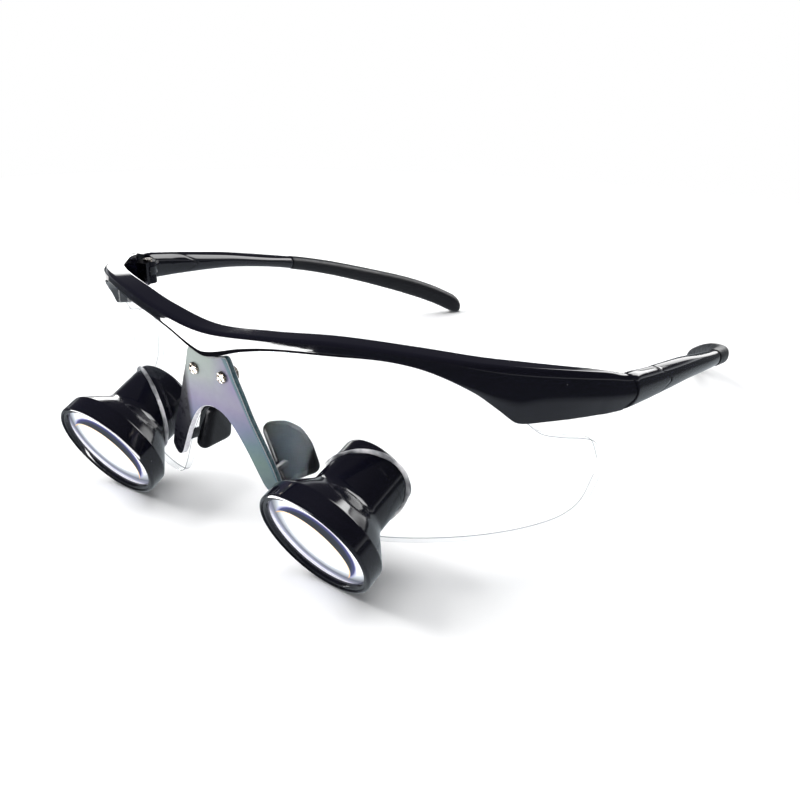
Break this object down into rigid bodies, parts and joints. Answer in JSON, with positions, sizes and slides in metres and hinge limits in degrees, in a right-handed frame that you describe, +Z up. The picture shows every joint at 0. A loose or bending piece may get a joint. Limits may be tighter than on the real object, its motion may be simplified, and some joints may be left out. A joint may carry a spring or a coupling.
{
  "type": "dental loupes",
  "caption": "Through-the-lens magnifying loupes: short angled telescopes set in a clear wraparound lens under a slim brow bar, with a nose bracket, soft pads and folding temples.",
  "frame": {"origin": "on the table, below the centre of the bounding box of the loupes with the temples open", "axes": "+X to the wearer's left, -Y the way the wearer looks, +Z up; the loupes rest on the objective rims and the temple tips"},
  "size_m": [0.1496, 0.187, 0.0502],
  "materials": {
    "frame_black": "gloss",
    "carrier_clear": "polished",
    "bridge_plate": "satin",
    "pad_rubber": "matte",
    "screw_steel": "polished",
    "scope_black": "gloss",
    "scope_inner": "matte",
    "optic_glass": "polished",
    "clear_bead": "gloss",
    "hinge_metal": "satin",
    "temple_black": "gloss",
    "core_wire": "satin",
    "sleeve_rubber": "satin"
  },
  "bodies": {
    "frame": {"brow_bar": "frame_black", "carrier_lens": "carrier_clear", "nose_bracket": "bridge_plate", "nose_pad_l": "pad_rubber", "nose_pad_r": "pad_rubber", "bridge_screws": "screw_steel", "bridge_nuts": "screw_steel", "hinge_screw_l": "screw_steel", "hinge_screw_r": "screw_steel", "objective_housing_l": "scope_black", "objective_housing_r": "scope_black", "eyepiece_housing_l": "scope_black", "eyepiece_housing_r": "scope_black", "objective_ring_l": "scope_inner", "objective_ring_r": "scope_inner", "lens_spacer_l": "scope_inner", "lens_spacer_r": "scope_inner", "eyepiece_ring_l": "scope_inner", "eyepiece_ring_r": "scope_inner", "objective_lens_l": "optic_glass", "objective_lens_r": "optic_glass", "eyepiece_lens_l": "optic_glass", "eyepiece_lens_r": "optic_glass", "glue_collar_l": "clear_bead", "glue_collar_r": "clear_bead", "hinge_lug_l": "hinge_metal", "hinge_lug_r": "hinge_metal"},
    "temple_l": {"hinge_block_l": "temple_black", "temple_arm_l": "temple_black", "temple_core_l": "core_wire", "temple_sleeve_l": "sleeve_rubber"},
    "temple_r": {"hinge_block_r": "temple_black", "temple_arm_r": "temple_black", "temple_core_r": "core_wire", "temple_sleeve_r": "sleeve_rubber"}
  },
  "joints": [
    {"name": "temple_l_fold", "type": "hinge", "parent": "frame", "child": "temple_l", "pos_m": [0.06662, -0.04417, 0.0398], "axis": [0, 0, 1], "range_deg": [0, 84]},
    {"name": "temple_r_fold", "type": "hinge", "parent": "frame", "child": "temple_r", "pos_m": [-0.06662, -0.04417, 0.0398], "axis": [0, 0, -1], "range_deg": [0, 76]}
  ]
}
